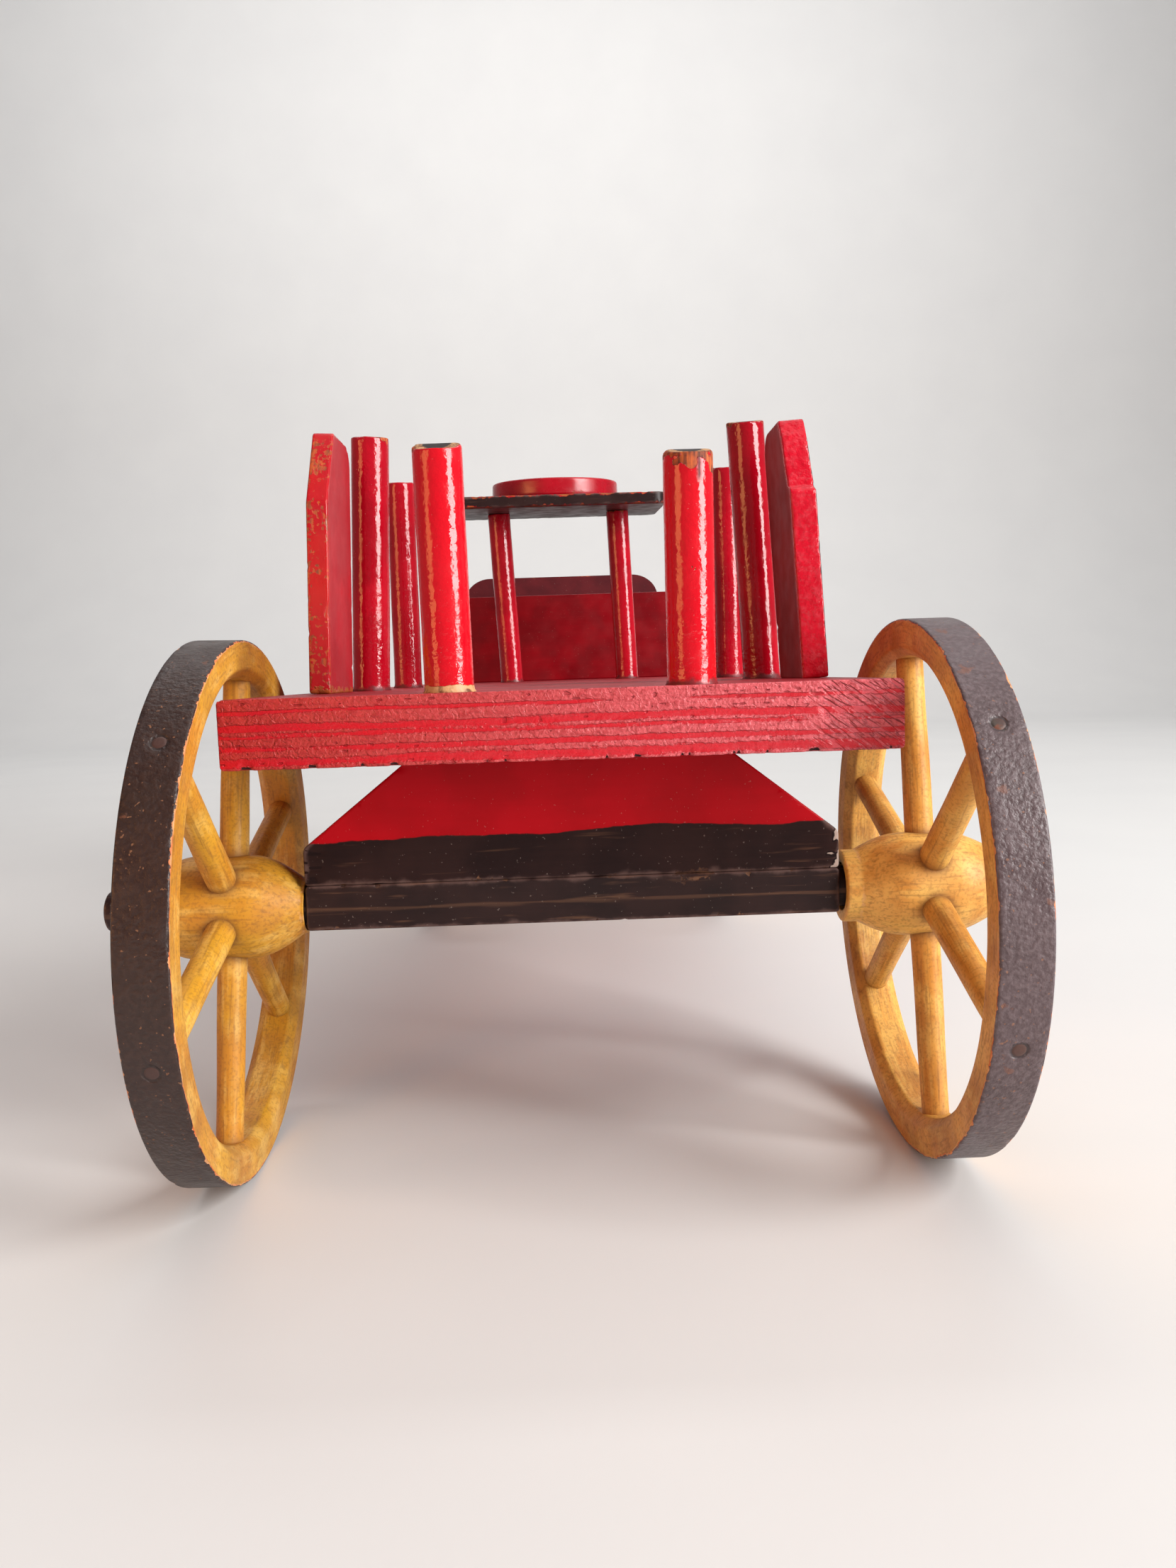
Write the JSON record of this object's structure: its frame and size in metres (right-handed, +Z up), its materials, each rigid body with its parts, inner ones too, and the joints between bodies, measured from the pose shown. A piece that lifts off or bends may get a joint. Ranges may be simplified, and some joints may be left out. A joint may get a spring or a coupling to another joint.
{
  "type": "toy wagon",
  "caption": "Wooden toy delivery wagon: plank bed with stakes and driver seat, large spoked rear wheels, small steering front wheels and a hinged pull handle.",
  "frame": {"origin": "on the floor, under the middle of the bounding box", "axes": "+X to the right seen from behind, +Y towards the front and the pull handle, +Z up"},
  "size_m": [0.276, 0.8534, 0.2581],
  "materials": {
    "red_paint": "glossy red enamel on wood, chipped at the edges",
    "black_paint": "worn brown-black paint on wood",
    "yellow_paint": "ochre yellow paint on wood, satin",
    "bare_steel": "dull aged steel"
  },
  "bodies": {
    "wagon_body": {"bed": "red_paint", "rear_post_left": "red_paint", "rear_post_right": "red_paint", "side_upright_left": "red_paint", "side_upright_right": "red_paint", "middle_stake_left": "red_paint", "middle_stake_right": "red_paint", "forward_stake_left": "red_paint", "forward_stake_right": "red_paint", "seat_post_left": "red_paint", "seat_post_right": "red_paint", "seat_cushion": "red_paint", "front_board": "red_paint", "footboard": "red_paint", "rear_bolster": "red_paint", "front_bolster": "red_paint", "seat_board": "black_paint", "rear_axle": "black_paint", "kingpin": "bare_steel", "rear_left_linchpin": "bare_steel", "rear_right_linchpin": "bare_steel"},
    "front_gear": {"pivot_block": "black_paint", "front_axle": "black_paint", "hound_left": "black_paint", "hound_right": "black_paint", "tongue_pin": "bare_steel", "front_left_linchpin": "bare_steel", "front_right_linchpin": "bare_steel"},
    "handle": {"tongue": "red_paint", "handle_grip": "black_paint"},
    "rear_left_wheel": {"rear_left_rim": "yellow_paint", "rear_left_hub": "yellow_paint", "rear_left_spoke_1": "yellow_paint", "rear_left_spoke_2": "yellow_paint", "rear_left_spoke_3": "yellow_paint", "rear_left_spoke_4": "yellow_paint", "rear_left_spoke_5": "yellow_paint", "rear_left_spoke_6": "yellow_paint"},
    "rear_right_wheel": {"rear_right_rim": "yellow_paint", "rear_right_hub": "yellow_paint", "rear_right_spoke_1": "yellow_paint", "rear_right_spoke_2": "yellow_paint", "rear_right_spoke_3": "yellow_paint", "rear_right_spoke_4": "yellow_paint", "rear_right_spoke_5": "yellow_paint", "rear_right_spoke_6": "yellow_paint"},
    "front_left_wheel": {"front_left_rim": "yellow_paint", "front_left_hub": "yellow_paint", "front_left_spoke_1": "yellow_paint", "front_left_spoke_2": "yellow_paint", "front_left_spoke_3": "yellow_paint", "front_left_spoke_4": "yellow_paint", "front_left_spoke_5": "yellow_paint"},
    "front_right_wheel": {"front_right_rim": "yellow_paint", "front_right_hub": "yellow_paint", "front_right_spoke_1": "yellow_paint", "front_right_spoke_2": "yellow_paint", "front_right_spoke_3": "yellow_paint", "front_right_spoke_4": "yellow_paint", "front_right_spoke_5": "yellow_paint"}
  },
  "joints": [
    {"name": "rear_left_spin", "type": "hinge", "parent": "wagon_body", "child": "rear_left_wheel", "pos_m": [-0.10125, -0.34691, 0.07981], "axis": [0.9996, 0.0209, -0.0209], "continuous": true},
    {"name": "rear_right_spin", "type": "hinge", "parent": "wagon_body", "child": "rear_right_wheel", "pos_m": [0.1074, -0.34691, 0.0797], "axis": [1, 0, 0], "continuous": true},
    {"name": "steering", "type": "hinge", "parent": "wagon_body", "child": "front_gear", "pos_m": [0, 0.01509, 0.098], "axis": [0, 0, 1], "range_deg": [-40, 40]},
    {"name": "front_left_spin", "type": "hinge", "parent": "front_gear", "child": "front_left_wheel", "pos_m": [-0.086, 0.01509, 0.0525], "axis": [1, 0, 0], "continuous": true},
    {"name": "front_right_spin", "type": "hinge", "parent": "front_gear", "child": "front_right_wheel", "pos_m": [0.086, 0.01509, 0.0525], "axis": [1, 0, 0], "continuous": true},
    {"name": "handle_lift", "type": "hinge", "parent": "front_gear", "child": "handle", "pos_m": [0, 0.07709, 0.041], "axis": [1, 0, 0], "range_deg": [0, 65]}
  ]
}
